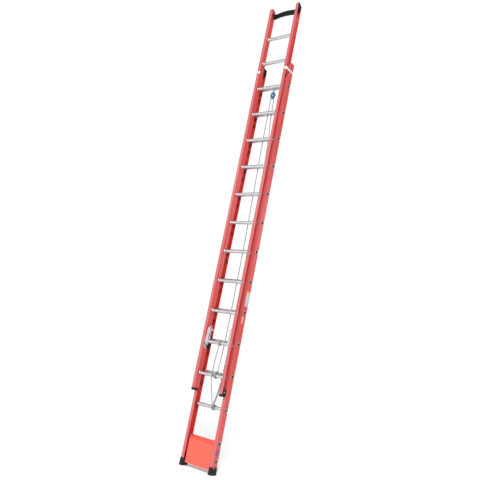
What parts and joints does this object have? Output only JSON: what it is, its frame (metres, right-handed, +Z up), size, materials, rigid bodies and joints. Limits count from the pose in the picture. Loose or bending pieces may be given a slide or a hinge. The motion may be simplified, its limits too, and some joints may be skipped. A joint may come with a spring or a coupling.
{
  "type": "extension ladder",
  "caption": "Fibreglass extension ladder: narrow front section slides up a wider rear one, with rung locks, rope and pulley, pole strap, kick panel and rubber shoes.",
  "frame": {"origin": "on the floor under the middle of the ladder's bounding box", "axes": "+Z up along the rails, +X to the climber's right, +Y from the climber's side to the wall side"},
  "size_m": [0.3882, 0.144, 4.833],
  "materials": {
    "fibreglass": "pultruded glass fibre, satin, red",
    "rung_aluminium": "extruded, fluted, bright",
    "bracket_aluminium": "flat bar, satin",
    "cast_aluminium": "as cast, slightly rough",
    "zinc_steel": "zinc plated",
    "pulley_paint": "blue grey enamel",
    "plug_plastic": "black moulded",
    "panel_plastic": "orange, satin",
    "shoe_rubber": "black moulded",
    "strap_rubber": "black, ribbed along its length",
    "rope_fibre": "braided grey-green cord with dark flecks"
  },
  "bodies": {
    "base": {"base_rail_left": "fibreglass", "base_rail_right": "fibreglass", "lower_brace": "rung_aluminium", "base_rung_01": "rung_aluminium", "base_rung_02": "rung_aluminium", "base_rung_03": "rung_aluminium", "base_rung_04": "rung_aluminium", "base_rung_05": "rung_aluminium", "base_rung_06": "rung_aluminium", "base_rung_07": "rung_aluminium", "base_rung_08": "rung_aluminium", "base_rung_09": "rung_aluminium", "base_rung_10": "rung_aluminium", "base_rung_11": "rung_aluminium", "base_rung_12": "rung_aluminium", "base_rung_13": "rung_aluminium", "shoe_left": "shoe_rubber", "shoe_right": "shoe_rubber", "base_top_plug_left": "plug_plastic", "base_top_plug_right": "plug_plastic", "guide_bracket_left": "bracket_aluminium", "guide_bracket_right": "bracket_aluminium", "kick_panel": "panel_plastic", "pulley_hanger": "zinc_steel", "pulley_block": "pulley_paint", "sheave_axle": "zinc_steel", "rope_haul_strand": "rope_fibre", "rope_fly_strand": "rope_fibre", "rope_tail": "rope_fibre", "base_knot": "rope_fibre"},
    "fly": {"fly_rail_left": "fibreglass", "fly_rail_right": "fibreglass", "fly_rung_01": "rung_aluminium", "fly_rung_02": "rung_aluminium", "fly_rung_03": "rung_aluminium", "fly_rung_04": "rung_aluminium", "fly_rung_05": "rung_aluminium", "fly_rung_06": "rung_aluminium", "fly_rung_07": "rung_aluminium", "fly_rung_08": "rung_aluminium", "fly_rung_09": "rung_aluminium", "fly_rung_10": "rung_aluminium", "fly_rung_11": "rung_aluminium", "fly_rung_12": "rung_aluminium", "fly_rung_13": "rung_aluminium", "fly_top_plug_left": "plug_plastic", "fly_top_plug_right": "plug_plastic", "fly_foot_plug_left": "plug_plastic", "fly_foot_plug_right": "plug_plastic", "pole_strap": "strap_rubber", "fly_knot": "rope_fibre", "lock_bracket_left": "cast_aluminium", "lock_bracket_right": "cast_aluminium", "lock_pin_left": "zinc_steel", "lock_pin_right": "zinc_steel", "lock_finger_left": "plug_plastic", "lock_finger_right": "plug_plastic"},
    "sheave": {"sheave": "plug_plastic"},
    "hook_left": {"lock_hook_left": "cast_aluminium"},
    "hook_right": {"lock_hook_right": "cast_aluminium"}
  },
  "joints": [
    {"name": "fly_slide", "type": "slide", "parent": "base", "child": "fly", "axis": [0, 0, 1], "range_m": [-0.6, 2.4], "deforming": ["rope_fly_strand", "rope_tail"]},
    {"name": "sheave_spin", "type": "hinge", "parent": "base", "child": "sheave", "pos_m": [0.036, 0, 3.763], "axis": [0, 1, 0], "continuous": true},
    {"name": "hook_swing_left", "type": "hinge", "parent": "fly", "child": "hook_left", "pos_m": [-0.125, -0.031, 1.178], "axis": [1, 0, 0], "range_deg": [-80, 0]},
    {"name": "hook_swing_right", "type": "hinge", "parent": "fly", "child": "hook_right", "pos_m": [0.125, -0.031, 1.178], "axis": [1, 0, 0], "range_deg": [-80, 0]}
  ],
  "couplings": [
    {"joint": "sheave_spin", "follows": "fly_slide", "rad_per_m": 51.8}
  ]
}
